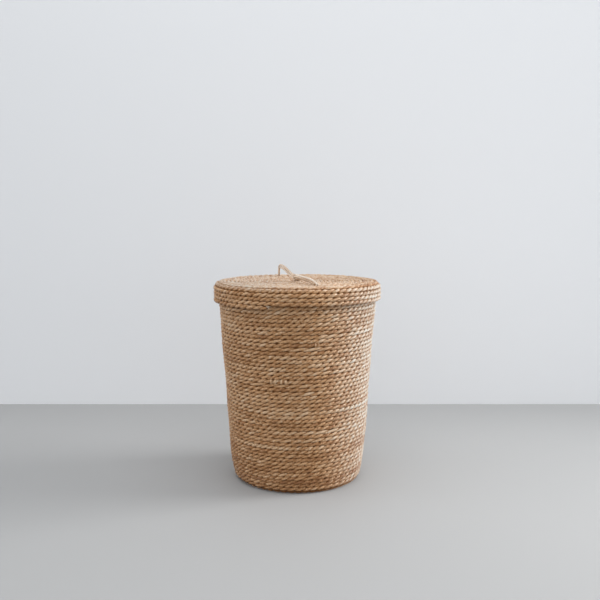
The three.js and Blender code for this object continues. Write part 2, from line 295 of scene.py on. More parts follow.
SHORT_TAIL_POINTS = [
    (1.4, -10.9, 504.5), (4.9, -19.4, 505.0), (9.4, -29.4, 504.9), (20.2, -55.0, 504.2),
    (28.6, -84.0, 503.2), (35.0, -112.0, 502.2), (38.9, -134.0, 501.5), (41.0, -150.0, 501.6),
]
LOOP_SIDEWAYS = (0.9, 0.43, 0.0)


def cord_object(name, path, sideways, seed, tone_with_painted_light=0.5):
    """A cord of three plies wound round its path. `tone_with_painted_light` is its mean tone, higher for
    paler, and on the tails it holds painted light and shade.
    """
    along = distances(path)
    outward = np.tile(np.array(sideways, float), (len(path), 1))
    even = np.ones(len(path))
    plies = []
    for number in range(CORD_PLIES):
        turn = 2 * np.pi * (along / CORD_LAY + number / CORD_PLIES)
        tone = tone_with_painted_light + CORD_TONE_DRIFT * wander(along, CORD_TONE_SPACING, seed + number)
        sizes = (PLY_OFFSET * even, PLY_DEPTH * even, PLY_WIDTH * even)
        plies.append(tube(path, outward, turn, *sizes, PLY_SIDES, seed + number, tone, CORD / 2))
    return tubes_object(name, plies)


def length_of(path):
    """The sum of the steps from each point to the next."""
    return float(np.linalg.norm(np.diff(path, axis=0), axis=1).sum())


cord_pieces = []
# The long tail's high tone is a painted highlight, as if lit on top, and the short tail's low tone is
# painted shade, as if in the long tail's shadow.
for name, node, points, far_end, seed, tone_with_painted_light in (
    ("handle_loop_cord", "handle_loop", LOOP_POINTS, "object", 11, 0.5),
    ("handle_tail_long_cord", "handle_tail_long", LONG_TAIL_POINTS, "bare", 21, 1.2),
    ("handle_tail_short_cord", "handle_tail_short", SHORT_TAIL_POINTS, "bare", 31, 0.0),
):
    route = smooth_route(points, CORD_STEP)
    piece = cord_object(name, route, LOOP_SIDEWAYS, seed, tone_with_painted_light)
    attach(piece, "handle_loop" if node == "handle_loop" else "lid")
    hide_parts(node)
    cord_pieces.append(piece)
    print(name, "length", round(length_of(route), 1), "mm")

# %% [markdown]
# The knot is the same cord drawn into a trefoil. Under the lid the cord runs doubled from one hole to
# the other, which is what carries the lid when it is lifted by the loop.

# %% Knot and anchor
KNOT_SIZE = 5.6
KNOT_SWING = 0.46
KNOT_RISE = 3.6
KNOT_TURN = 2 * math.pi / 15
KNOT_STEPS = 260
HOLE_OFFSET = 8.0
ANCHOR_BEND = 3.0
ANCHOR_BEND_STEPS = 12
ANCHOR_STEP = 0.8
knot_low, knot_high = (np.array(corner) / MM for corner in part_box("handle_knot"))
anchor_low, anchor_high = (np.array(corner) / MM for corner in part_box("handle_anchor"))


def knot_path():
    """A trefoil: the distance from the axis swings three times while the angle goes round twice, and
    the height swings a quarter of a wave behind it."""
    u = np.linspace(0, 4 * np.pi, KNOT_STEPS)
    radius = KNOT_SIZE * (1 + KNOT_SWING * np.cos(1.5 * u))
    height = KNOT_RISE * np.sin(1.5 * u) + (knot_low[2] + knot_high[2]) / 2
    angle = u + KNOT_TURN
    return np.column_stack([radius * np.cos(angle), radius * np.sin(angle), height])


def anchor_path(side):
    """One cord of the pair: down a hole, across under the lid on a round bend, and up the other hole."""
    low = anchor_low[2] + CORD / 2
    bend = np.linspace(0, np.pi / 2, ANCHOR_BEND_STEPS)
    x = HOLE_OFFSET - ANCHOR_BEND + ANCHOR_BEND * np.cos(bend)
    z = low + ANCHOR_BEND - ANCHOR_BEND * np.sin(bend)
    right = np.vstack([[HOLE_OFFSET, anchor_high[2]], np.column_stack([x, z])])
    left = right[::-1] * (-1, 1)
    flat = np.vstack([right, left])
    y = np.full(len(flat), side * CORD / 2)
    return spaced(np.column_stack([flat[:, 0], y, flat[:, 1]]), ANCHOR_STEP)


knot = cord_object("handle_knot_cord", knot_path(), (0, 0, 1), 41)
anchor = cord_object("handle_anchor_cord", anchor_path(-1), (0, 1, 0), 51)
anchor_twin = cord_object("handle_anchor_cord_twin", anchor_path(1), (0, 1, 0), 61)
for piece, node in ((knot, "handle_knot"), (anchor, "handle_anchor"), (anchor_twin, "handle_anchor")):
    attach(piece, "lid")
    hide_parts(node)
    cord_pieces.append(piece)
print("knot at height", round((knot_low[2] + knot_high[2]) / 2, 1))

# %% [markdown]
# The rope of the basket and the lid is plied from two strands. It is a little thicker than the distance
# between two courses, because the sewing presses the courses into each other, and only pits stay open
# between them. Its lay drifts, its strands swell and thin, and every so often the twist is slack. Where
# a new length of rope was joined in, the twist is stretched out over a hand's width and the fibres are
# paler. A core of packed fibre, flat and as high as a course, closes the middle and the gaps between
# the courses, so that no light comes through the wall.

# %% Rope
ROPE = 9.6
LAY = 34.0
STRAND_OFFSET = 2.5
STRAND_DEPTH = 2.95
STRAND_WIDTH = 3.4
ROPE_STEP = 2.5
STRAND_SIDES = 8
CORE_SIDES = 4
CORE_DEPTH = 3.5
CORE_WIDTH = 5.2
CORE_TONE = 0.1
PRESSED_IN = 0.5
REACH = STRAND_OFFSET + STRAND_DEPTH
LUMP = 0.38
SLACK_EVERY = 420
SLACK_LENGTHS = (18, 60)
SLACK_STRENGTHS = (0.1, 0.8)
JOIN_LENGTH = 55
JOIN_LAY = 0.9
JOIN_PALENESS = 0.35
SLACK_FLATTENING = 0.12
THINNEST = 0.25
LAY_DRIFTS = [(0.14, 190, 0), (0.12, 55, 7)]
SWELL_DRIFTS = [(0.06, 46, 0), (0.06, 13, 1)]
ROPE_TONE_DRIFTS = [(0.20, 110, 12), (0.10, 420, 13)]
STRAND_TONE_DRIFTS = [(0.16, 40, 2), (0.20, 17, 4)]


def slack_places(along, seed):
    """How slack the twist is: a bell curve of its own length at each of many seeded places."""
    rng = np.random.default_rng(seed)
    count = max(1, int(along[-1] / SLACK_EVERY))
    places = rng.uniform(0, along[-1], count)
    lengths = rng.uniform(*SLACK_LENGTHS, count)
    strengths = rng.uniform(*SLACK_STRENGTHS, count)
    total = np.zeros(len(along))
    for place, length, strength in zip(places, lengths, strengths):
        near = np.abs(along - place) < 4 * length
        total[near] += strength * np.exp(-(((along[near] - place) / length) ** 2))
    return total


def thinned(distance, length):
    """Thickness near a rope's end: it grows with the square root of the distance, up to one."""
    return THINNEST + (1 - THINNEST) * np.clip(distance / length, 0, 1) ** 0.5


def rope_strands(path, outward, seed, taper_start, taper_end, joins=()):
    """Two strands along a path and the core between them. `joins` are distances along it where the
    rope is stretched, and the tapers are the lengths over which it thins at its ends."""
    along = distances(path)
    stretch = np.zeros(len(path))
    for join in joins:
        stretch += np.exp(-(((along - join) / JOIN_LENGTH) ** 2))
    slack = slack_places(along, seed + 40)
    lay = LAY * (1 + drifts(along, LAY_DRIFTS, seed) + JOIN_LAY * stretch + slack)
    turn = 2 * np.pi * np.cumsum(np.gradient(along) / lay)
    thin = thinned(along, taper_start) * thinned(along[-1] - along, taper_end)
    flat = 1 - SLACK_FLATTENING * np.minimum(stretch + 0.5 * slack, 1)
    rope_tone = 0.5 + drifts(along, ROPE_TONE_DRIFTS, seed) + JOIN_PALENESS * stretch
    strands = []
    for number in range(2):
        own = seed + 10 * number + 1
        swell = thin * (1 + drifts(along, SWELL_DRIFTS, own))
        tone = np.clip(rope_tone + drifts(along, STRAND_TONE_DRIFTS, own), 0, 1)
        strands.append(
            tube(
                path, outward, turn + np.pi * number, STRAND_OFFSET * thin * flat,
                STRAND_DEPTH * swell, STRAND_WIDTH * swell, STRAND_SIDES, own + 5, tone, REACH, LUMP,
            )
        )
    core = (path, outward, 0 * thin, 0 * thin, CORE_DEPTH * thin, CORE_WIDTH * thin)
    strands.append(tube(*core, CORE_SIDES, seed + 9, CORE_TONE * thin, REACH))
    return strands


# %% [markdown]
# The wall's path is a spiral that leaves the flat base on its last turn, where each course begins to
# ride up on the one before, and then climbs by the rope's thickness each turn. The outline narrows
# towards the floor and is drawn in at the foot.

# %% Base and wall
MOUTH_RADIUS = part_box("wall_coil_upper")[1][0] / MM
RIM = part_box("wall_coil_upper")[1][2] / MM
RIM_INSIDE = MOUTH_RADIUS - ROPE
UPRIGHT = 35.0
TAPER = 0.0685
FOOT_DRAW = 9.3
FOOT_REACH = 31.0
WALL_COURSES = 50
CLIMB_ANGLE = math.radians(100)
BASE_START = 5.0
RIM_DROP = 1.2
ROLL_FADE = 5
PATH_SAMPLES = 200000
DENT_WAVES = [(0.55, 2, 70, 0.6), (0.45, 3, -41, 0.0), (0.4, 5, 23, 2.1)]
FOOT_CALM = 40
FOOT_CALM_START = 0.2
RIM_CALM = 60
RIM_DENTS = 0.25
RADIUS_DRIFTS = [(0.35, 60, 0)]
HEIGHT_DRIFTS = [(0.30, 110, 0)]
OUTWARD_FROM = -1.4
OUTWARD_OVER = 0.8


def wall_radius(height):
    """Straight under the lid, then tapering, less a draw at the foot that fades upwards."""
    below = np.maximum(0, RIM - UPRIGHT - height)
    return MOUTH_RADIUS - TAPER * below - FOOT_DRAW * np.exp(-np.maximum(height, 0) / FOOT_REACH)


def dents(angle, height):
    """Slow hand-made unevenness of the wall, in and out: a sum of sines that turn with the height. A
    wave is its size, its count round the wall, the height over which it turns a radian, and its phase."""
    total = 0
    for size, count, turning, phase in DENT_WAVES:
        total = total + size * np.sin(count * angle + height / turning + phase)
    return total


def basket_path():
    """Turns are counted from where the rope first lies a whole course up. Before turn -1 the rope lies
    flat and the radius grows by one rope a turn. After it, the height is that of a round rope that
    rolls up over the turn inside it, and this start fades out over the first courses."""
    flat_radius = wall_radius(ROPE / 2) - ROPE / 2 - PRESSED_IN
    first = -1 - (flat_radius - BASE_START) / ROPE
    turns = np.linspace(first, WALL_COURSES - 1, PATH_SAMPLES)
    climbed = np.maximum(turns + 1, 0)
    part = climbed % 1
    roll = (np.sqrt(1 - (1 - part) ** 2) - part) * np.exp(-climbed / ROLL_FADE)
    height = ROPE / 2 + (RIM - ROPE - RIM_DROP) * climbed / WALL_COURSES + ROPE * roll
    angle = CLIMB_ANGLE + 2 * np.pi * (turns + 1)
    radius = wall_radius(height) - ROPE / 2 - PRESSED_IN + np.minimum(0, turns + 1) * ROPE
    foot_fade = np.clip(height / FOOT_CALM - FOOT_CALM_START, 0, 1)
    rim_fade = np.clip((RIM - height) / RIM_CALM, RIM_DENTS, 1)
    radius = radius + dents(angle, height) * (foot_fade * rim_fade)
    path = np.column_stack([radius * np.cos(angle), radius * np.sin(angle), height])
    along = distances(path)
    steps = np.linspace(0, along[-1], int(along[-1] / ROPE_STEP))
    resampled = [np.interp(steps, along, values) for values in (turns, height, angle, radius)]
    turns, height, angle, radius = resampled
    radius = radius + drifts(steps, RADIUS_DRIFTS, 71)
    height = height + drifts(steps, HEIGHT_DRIFTS, 72) * np.clip(turns + 1, 0, 1)
    path = np.column_stack([radius * np.cos(angle), radius * np.sin(angle), height])
    outward = np.column_stack([np.cos(angle), np.sin(angle), np.zeros(len(angle))])
    rise = np.clip((turns - OUTWARD_FROM) / OUTWARD_OVER, 0, 1)[:, None]
    outward = unit(rise * outward + (1 - rise) * (0, 0, -1))
    return path, outward, turns, steps


def turn_at(angle_from_front, height):
    """The turn at which the rope passes an angle, counted from the front towards +X, near a height."""
    turns = (height - ROPE / 2) / ROPE - 1
    phase = (math.radians(-90 + angle_from_front) - CLIMB_ANGLE) / (2 * math.pi) - 1
    return phase + round(turns - phase)


basket_route, basket_outward, basket_turns, basket_steps = basket_path()
join_turns = [turn_at(23, 154), turn_at(8, 355.5)]
joins = [float(np.interp(turn, basket_turns, basket_steps)) for turn in join_turns]
basket_strands = rope_strands(basket_route, basket_outward, 100, 12, 30, joins)

# %% [markdown]
# The strands are cut into one piece for each solid that they replace. Where the lid and the rim meet,
# both are pressed flat, with a small gap between them, so that no strand goes through another.

# %% Pieces of rope
FLOOR = 0.05
HALF_GAP = 0.15
RUB_RADIUS = 199.4
RUB_HEIGHT = RIM + HALF_GAP
RIM_SLACK = 2
RIM_INNER_EDGE = RIM_INSIDE - RIM_SLACK
SKIRT_BOTTOM = 445.0


def cut(strand, first, last):
    """The part of a strand between two steps."""
    return {key: values[first:last] for key, values in strand.items()}


def pressed(rings, body):
    """Points pressed flat where the rope meets something: nothing lies under the floor, the rim stays
    below one height and inside one radius, and the lid stays above that height or outside that radius,
    whichever is nearer."""
    rings = rings.copy()
    radius = np.linalg.norm(rings[..., :2], axis=-1)
    height = np.maximum(rings[..., 2], FLOOR)
    if body == "lid":
        above = RUB_HEIGHT + HALF_GAP
        outside = RUB_RADIUS + HALF_GAP
        in_rim = (radius > RIM_INNER_EDGE) & (radius < outside) & (height < above)
        lifted = in_rim & (above - height < outside - radius)
        rings[..., 2] = np.where(lifted, above, height)
        wanted = np.where(in_rim & ~lifted, outside, radius)
    else:
        rings[..., 2] = np.minimum(height, RUB_HEIGHT - HALF_GAP)
        wanted = np.where(height > SKIRT_BOTTOM, np.minimum(radius, RUB_RADIUS - HALF_GAP), radius)
    rings[..., :2] *= (wanted / radius)[..., None]
    return rings


def strand_pieces(strands, first, last, body, node):
    """One piece for each strand between two steps, in place of one solid and riding on one body."""
    made = []
    for strand, ending in zip(strands, ("_strand_a", "_strand_b", "_core")):
        part = cut(strand, first, last + 1)
        part["rings"] = pressed(part["rings"], body)
        piece = tubes_object(node.replace("_coil", "_rope") + ending, [part])
        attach(piece, body)
        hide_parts(node)
        made.append(piece)
    return made


def step_at(turn):
    """The first step of the basket's rope at or after a turn."""
    return int(np.searchsorted(basket_turns, turn))


base_end = step_at(-1)
lower_end = step_at(join_turns[0])
upper_end = step_at(join_turns[1])
rope_pieces = []
for node, first, last in (
    ("base_coil", 0, base_end),
    ("wall_coil_lower", base_end, lower_end),
    ("wall_coil_middle", lower_end, upper_end),
    ("wall_coil_upper", upper_end, len(basket_turns) - 1),
):
    rope_pieces += strand_pieces(basket_strands, first, last, "basket", node)
basket_turn_count = round(basket_turns[-1] - basket_turns[0], 1)
print("basket rope", round(basket_steps[-1] / 1000, 1), "m in", basket_turn_count, "turns")

# %% [markdown]
# The lid's rope starts in the middle too. Its path is a profile, the dished top, a rounded shoulder and
# the straight skirt, which is walked along by one rope a turn while the angle goes round. It ends at the
# front left, so the skirt hangs lower just before that point than just after it.

# %% Lid
LID_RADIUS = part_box("lid_disc_coil")[1][0] / MM
LID_TOP_LIFT = 0.2
LID_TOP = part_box("lid_disc_coil")[1][2] / MM + LID_TOP_LIFT
LID_DISH = 3.0
SHOULDER = 13.2
FLAT_END = LID_RADIUS - ROPE / 2 - SHOULDER
LID_PRESSED_IN = 0.3
LID_START = 4.6
LID_SAMPLES = 120000
WALKED_DRIFTS = [(0.3, 90, 0)]
PUSH_DRIFTS = [(0.35, 60, 0), (0.45, 14, 1)]
HOLE_PUSH = 3.2
HOLE_REACH = 8
ROPE_END_ANGLE = -109.0
ROPE_END_HEIGHT = 452.2


def lid_profile(walked):
    """Radius, height and outward slope of the rope's middle after a distance along the profile: level
    to the shoulder, a quarter of a circle round it, then straight down. The top is dished by a parabola."""
    top = LID_TOP - ROPE / 2
    bend = np.clip((walked - FLAT_END) / SHOULDER, 0, np.pi / 2)
    down = np.maximum(0, walked - FLAT_END - SHOULDER * np.pi / 2)
    radius = np.minimum(walked, FLAT_END) + SHOULDER * np.sin(bend)
    height = top - SHOULDER * (1 - np.cos(bend)) - down
    height = height - LID_DISH * np.maximum(0, 1 - (radius / RIM_INSIDE) ** 2)
    return radius, height, bend


def lid_path():
    """The angle goes round once for each rope that is walked along the profile, and is counted back from
    the rope's end. Round the two holes the rope is pushed aside by a bell curve of its distance."""
    top = LID_TOP - ROPE / 2
    whole = FLAT_END + SHOULDER * np.pi / 2 + (top - SHOULDER - ROPE_END_HEIGHT)
    walked = np.linspace(LID_START, whole, LID_SAMPLES)
    angle = math.radians(ROPE_END_ANGLE) - 2 * np.pi * (whole - walked) / ROPE
    radius, height, bend = lid_profile(walked)
    path = np.column_stack([radius * np.cos(angle), radius * np.sin(angle), height])
    along = distances(path)
    steps = np.linspace(0, along[-1], int(along[-1] / ROPE_STEP))
    walked, angle = (np.interp(steps, along, values) for values in (walked, angle))
    radius, height, bend = lid_profile(walked + drifts(steps, WALKED_DRIFTS, 81))
    push = drifts(steps, PUSH_DRIFTS, 82) - LID_PRESSED_IN
    radius = radius + push * np.sin(bend)
    height = height + push * np.cos(bend)
    path = np.column_stack([radius * np.cos(angle), radius * np.sin(angle), height])
    for side in (-1, 1):
        away = path[:, :2] - np.array([side * HOLE_OFFSET, 0])
        far = np.linalg.norm(away, axis=1)
        path[:, :2] += away / far[:, None] * (HOLE_PUSH * np.exp(-((far / HOLE_REACH) ** 2)))[:, None]
    outward = np.column_stack([np.sin(bend) * np.cos(angle), np.sin(bend) * np.sin(angle), np.cos(bend)])
    return path, outward, walked, steps


lid_route, lid_outward, lid_walked, lid_steps = lid_path()
lid_strands = rope_strands(lid_route, lid_outward, 300, 10, 16)
skirt_start = int(np.searchsorted(lid_walked, FLAT_END + SHOULDER * np.pi / 2))
for node, first, last in (
    ("lid_disc_coil", 0, skirt_start),
    ("lid_skirt_coil", skirt_start, len(lid_steps) - 1),
):
    rope_pieces += strand_pieces(lid_strands, first, last, "lid", node)
print("lid rope", round(lid_steps[-1] / 1000, 1), "m")

# %% [markdown]
# Small things that tell of handwork. In two places on the wall a few turns of twine bind the rope. A
# binding is a flat band bent over its course, whose ends go down between the courses.

# %% Bindings
BINDINGS = [(-19.5, 276.4, 2.7), (-16.0, 276.4, 2.7), (-11.2, 276.4, 2.7), (-8.3, 276.4, 2.9)]
BINDINGS += [(13.0, 362.6, 1.3), (15.0, 362.6, 1.3)]
BAND_REACH = 112
BAND_POINTS = 15
BAND_SIDES = 8
BAND_DISTANCE = 5.2
BAND_BULGE = 0.9
BAND_THICKNESS = 0.9
BAND_TONE = 0.75


def step_near(angle_from_front, height):
    """The step of the wall's rope that comes nearest to an angle, counted from the front, and a height."""
    aim = math.radians(angle_from_front - 90)
    radius = wall_radius(height) - ROPE / 2
    spot = (radius * math.cos(aim), radius * math.sin(aim), height)
    return int(np.argmin(np.linalg.norm(basket_route - spot, axis=1)))


def band(step, half_width, seed):
    """A flat band over the rope: an arc round the rope's middle, from one course gap to the other, a
    little further out where it faces outwards."""
    bend = np.radians(np.linspace(-BAND_REACH, BAND_REACH, BAND_POINTS))[:, None]
    outward = basket_outward[step]
    along = unit(basket_route[step + 1] - basket_route[step - 1])
    up = np.cross(outward, along)
    spokes = np.cos(bend) * outward + np.sin(bend) * up
    arc = basket_route[step] + (BAND_DISTANCE + BAND_BULGE * np.cos(bend)) * spokes
    even = np.ones(BAND_POINTS)
    sizes = (0 * even, 0 * even, BAND_THICKNESS * even, half_width * even)
    return tube(arc, spokes, *sizes, BAND_SIDES, seed, BAND_TONE * even, reach=1.0)


binding_places = [(step_near(angle, height), half_width) for angle, height, half_width in BINDINGS]
bands = [band(step, half_width, 500 + 7 * step) for step, half_width in binding_places]
bindings = tubes_object("wall_bindings", bands)
print("bindings at steps", [step for step, half_width in binding_places])

# %% [markdown]
# The lid's rope ends at the front left in a fray, a tuft of fine fibres that spread from the cut. A few
# loose fibres also stand off the wall and the skirt.

# %% Loose fibres
FRAY_FIBRES = 26
FRAY_POINTS = 6
FRAY_SIDES = 5
FRAY_LIFT = 3.5
FRAY_OUTWARD = 0.35
FRAY_OUTWARD_RANGE = (0.2, 1.2)
FRAY_SPREAD = 0.28
FRAY_LENGTHS = (5, 12)
FRAY_DROOP = 0.006
FRAY_THICKNESS = 0.42
FRAY_THINNING = 0.35
FRAY_TONE = 0.9
WALL_FIBRES = 200
SKIRT_FIBRES = 40
SKIRT_CLEAR = (400, 40)
FIBRE_POINTS = 5
FIBRE_SIDES = 4
FIBRE_ROOT = 4.6
FIBRE_LEAN = (0.25, 0.7)
FIBRE_CLIMB = 0.4
FIBRE_LENGTHS = (5, 13)
FIBRE_CURVE = 0.03
FIBRE_THICKNESS = 0.2
FIBRE_THINNING = 0.5
FIBRE_TONE = 0.8


def fine_fibre(path, outward, thickness, thinning, sides, seed, tone, reach):
    """A round fibre along a path, which thins evenly from its root to its tip."""
    thin = thickness * np.linspace(1, thinning, len(path))
    spokes = np.tile(outward, (len(path), 1))
    return tube(path, spokes, 0 * thin, 0 * thin, thin, thin, sides, seed, 0 * thin + tone, reach)


def fray(route, outward, count, seed):
    """Fine fibres from the end of a route, which leave along it and spread, and droop with the square of
    their reach."""
    rng = np.random.default_rng(seed)
    ahead = unit(route[-1] - route[-4])
    shape = (outward[-1], FRAY_THICKNESS, FRAY_THINNING, FRAY_SIDES)
    tubes = []
    for number in range(count):
        start = route[-2] + (0, 0, FRAY_LIFT) + rng.normal(0, 1.0, 3)
        lean = FRAY_OUTWARD * outward[-1] * rng.uniform(*FRAY_OUTWARD_RANGE)
        aim = unit(ahead + lean + rng.normal(0, FRAY_SPREAD, 3))
        reach = rng.uniform(*FRAY_LENGTHS) * np.linspace(0, 1, FRAY_POINTS)[:, None]
        path = start + reach * aim - (0, 0, FRAY_DROOP) * reach**2
        tubes.append(fine_fibre(path, *shape, seed + number, FRAY_TONE, 0.1))
    return tubes


def loose_fibres(route, outward, steps, seed):
    """Fine fibres that start in the rope at the given steps and lean out of it, and bend to a side with
    the square of their reach."""
    rng = np.random.default_rng(seed)
    shape = (FIBRE_THICKNESS, FIBRE_THINNING, FIBRE_SIDES)
    tubes = []
    for step in steps:
        along = unit(route[step + 1] - route[step - 1]) * rng.choice((-1, 1))
        aim = unit(along + outward[step] * rng.uniform(*FIBRE_LEAN) + (0, 0, rng.normal(0, FIBRE_CLIMB)))
        side = unit(np.cross(aim, rng.normal(0, 1, 3)))
        reach = rng.uniform(*FIBRE_LENGTHS) * np.linspace(0, 1, FIBRE_POINTS)[:, None]
        curve = rng.uniform(-FIBRE_CURVE, FIBRE_CURVE) * reach**2 * side
        path = route[step] + FIBRE_ROOT * outward[step] + reach * aim + curve
        tubes.append(fine_fibre(path, side, *shape, seed + step, FIBRE_TONE, 0.05))
    return tubes


frayed_end = tubes_object("lid_frayed_end", fray(lid_route, lid_outward, FRAY_FIBRES, 640))
wall_range = (step_near(0, 12), step_near(0, 425))
skirt_range = (skirt_start + SKIRT_CLEAR[0], len(lid_steps) - SKIRT_CLEAR[1])
wall_steps = np.random.default_rng(71).integers(*wall_range, WALL_FIBRES)
skirt_steps = np.random.default_rng(72).integers(*skirt_range, SKIRT_FIBRES)
wall_fibres = tubes_object("wall_loose_fibres", loose_fibres(basket_route, basket_outward, wall_steps, 900))
skirt_fibres = tubes_object("skirt_loose_fibres", loose_fibres(lid_route, lid_outward, skirt_steps, 950))
for piece, body, node, slot_name in (
    (bindings, "basket", "wall_coil_middle", "basket_rope"),
    (wall_fibres, "basket", "wall_coil_middle", "basket_rope"),
    (skirt_fibres, "lid", "lid_skirt_coil", "lid_rope"),
    (frayed_end, "lid", "lid_skirt_coil", "lid_rope"),
):
    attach(piece, body)
    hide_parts(node)
rope_pieces += [bindings, wall_fibres, skirt_fibres]
cord_pieces.append(frayed_end)
print("loose fibres", WALL_FIBRES + SKIRT_FIBRES, "in the fray", FRAY_FIBRES)

# %% [markdown]
# The fibres are coloured with a few kinds of node: sums, products and ranges of values, a blend of two
# colours, and a stretched noise.

# %% Tools for materials
NOISE_ROUGHNESS = 0.65


def link(tree, source, target):
    """Joins an output of one node to an input of another."""
    tree.links.new(source, target)


def weigh(tree, source, weight, added):
    """A value times a weight, plus another value or number."""
    node = tree.nodes.new("ShaderNodeMath")
    node.operation = "MULTIPLY_ADD"
    node.inputs[1].default_value = weight
    link(tree, source, node.inputs[0])
    if isinstance(added, float):
        node.inputs[2].default_value = added
    else:
        link(tree, added, node.inputs[2])
    return node.outputs["Value"]


def ranged(tree, source, given, wanted, easing="LINEAR"):
    """A value moved from the range `given` to the range `wanted`, and held inside it."""
    node = tree.nodes.new("ShaderNodeMapRange")
    node.interpolation_type = easing
    for socket, value in zip(("From Min", "From Max", "To Min", "To Max"), (*given, *wanted)):
        node.inputs[socket].default_value = value
    link(tree, source, node.inputs["Value"])
    return node.outputs["Result"]


def times(tree, first, second):
    """The product of two values, held between 0 and 1."""
    node = tree.nodes.new("ShaderNodeMath")
    node.operation = "MULTIPLY"
    node.use_clamp = True
    link(tree, first, node.inputs[0])
    link(tree, second, node.inputs[1])
    return node.outputs["Value"]


def blend(tree, amount, given, first, second):
    """Between two colours, by how far the amount has come through the range `given`."""
    mix = tree.nodes.new("ShaderNodeMix")
    mix.data_type = "RGBA"
    link(tree, ranged(tree, amount, given, (0.0, 1.0)), mix.inputs["Factor"])
    link(tree, first, mix.inputs["A"])
    link(tree, second, mix.inputs["B"])
    return mix.outputs["Result"]


def carried(tree, name, output):
    """What the points of the mesh carry under a name."""
    node = tree.nodes.new("ShaderNodeAttribute")
    node.attribute_name = name
    return node.outputs[output]


def streaks(tree, place, fineness, squeeze, detail):
    """A noise on the unrolled strand, with the coordinate along the strand squeezed."""
    shape = tree.nodes.new("ShaderNodeCombineXYZ")
    shape.inputs["Y"].default_value = 1.0
    shape.inputs["Z"].default_value = 1.0
    scaled = tree.nodes.new("ShaderNodeVectorMath")
    scaled.operation = "MULTIPLY"
    noise = tree.nodes.new("ShaderNodeTexNoise")
    noise.inputs["Detail"].default_value = detail
    noise.inputs["Roughness"].default_value = NOISE_ROUGHNESS
    link(tree, squeeze, shape.inputs["X"])
    link(tree, place, scaled.inputs[0])
    link(tree, shape.outputs["Vector"], scaled.inputs[1])
    link(tree, scaled.outputs["Vector"], noise.inputs["Vector"])
    link(tree, fineness, noise.inputs["Scale"])
    return noise.outputs["Fac"]


# %% [markdown]
# A painted highlight pales the side of the basket that stands towards the window, and the lid's top,
# where it fades from left to right. Heights and places are in metres, read from the object's own
# coordinates.

# %% Painted highlight
TOWARDS_WINDOW = (4.6, 0.9, 0.0)
SIDE_REACH = (0.0, 0.85)
TOP_REACH = (-0.15, 0.15)
TOP_PAINTED_HIGHLIGHT = (0.75, 0.3)
SHOULDER_HEIGHTS = (0.489, 0.4965)


def height_and_side(tree):
    """Where a point is on the object: its height, how far right it is, and how far towards the window."""
    place = tree.nodes.new("ShaderNodeTexCoord")
    parts = tree.nodes.new("ShaderNodeSeparateXYZ")
    facing = tree.nodes.new("ShaderNodeVectorMath")
    facing.operation = "DOT_PRODUCT"
    facing.inputs[1].default_value = TOWARDS_WINDOW
    link(tree, place.outputs["Object"], parts.inputs["Vector"])
    link(tree, place.outputs["Object"], facing.inputs[0])
    return parts.outputs["Z"], parts.outputs["X"], facing.outputs["Value"]


def painted_highlight_mask(tree, height, right, facing):
    """From 0 to 1, how much painted highlight: below the shoulder it grows towards the window, and above it
    from right to left.
    """
    side = ranged(tree, facing, SIDE_REACH, (0.0, 1.0), "SMOOTHSTEP")
    top = ranged(tree, right, TOP_REACH, TOP_PAINTED_HIGHLIGHT)
    mix = tree.nodes.new("ShaderNodeMix")
    link(tree, ranged(tree, height, SHOULDER_HEIGHTS, (0.0, 1.0)), mix.inputs["Factor"])
    link(tree, side, mix.inputs["A"])
    link(tree, top, mix.inputs["B"])
    return mix.outputs["Result"]


# %% [markdown]
# One group of nodes colours the fibres of the unrolled strand. A stretched noise gives streaks, a rounder
# one gives blotches, and the strand's own tone shifts both. The outermost fibres, where a strand stands
# out of its course, get most of a painted highlight and have a faint gloss. What lies deep between the
# courses is painted darker and browner as shade, and the foot is made a little darker too.

# %% Fibres
FIBRE_COLOURS = ("Dark Fibre", "Middle Fibre", "Light Fibre", "Painted Shade Fibre", "Painted Highlight Fibre")
FIBRE_GRAIN = {"Fineness": 1.0, "Squeeze": 0.1, "Blotch Fineness": 0.3, "Blotch Squeeze": 0.4}
TONE_SHARE = 0.42
BLOTCH_SHARE = 0.85
STREAK_SHARE = 0.75
STREAK_DETAIL = 3.0
BLOTCH_DETAIL = 2.0
FOOT_HEIGHTS = (0.05, 0.12)
FOOT_DARKENING = 0.11
DARK_TO_MIDDLE = (0.28, 0.5)
MIDDLE_TO_LIGHT = (0.5, 0.74)
EXPOSED_DEPTHS = (0.4, 0.95)
EXPOSED_SHARE = (0.4, 1.0)
PALER_FIBRES = 1.7
PALER_START = -0.35
PAINTED_HIGHLIGHT_REACH = 0.85
PAINTED_SHADE_REACH = 0.5
GLOSS_DEPTHS = (0.45, 0.9)
GLOSS = (0.0, 0.55)
FIBRE_ROUGHNESS = 0.35
ROUGHNESS_STREAKS = 0.35
BLOTCH_BUMP = 0.5


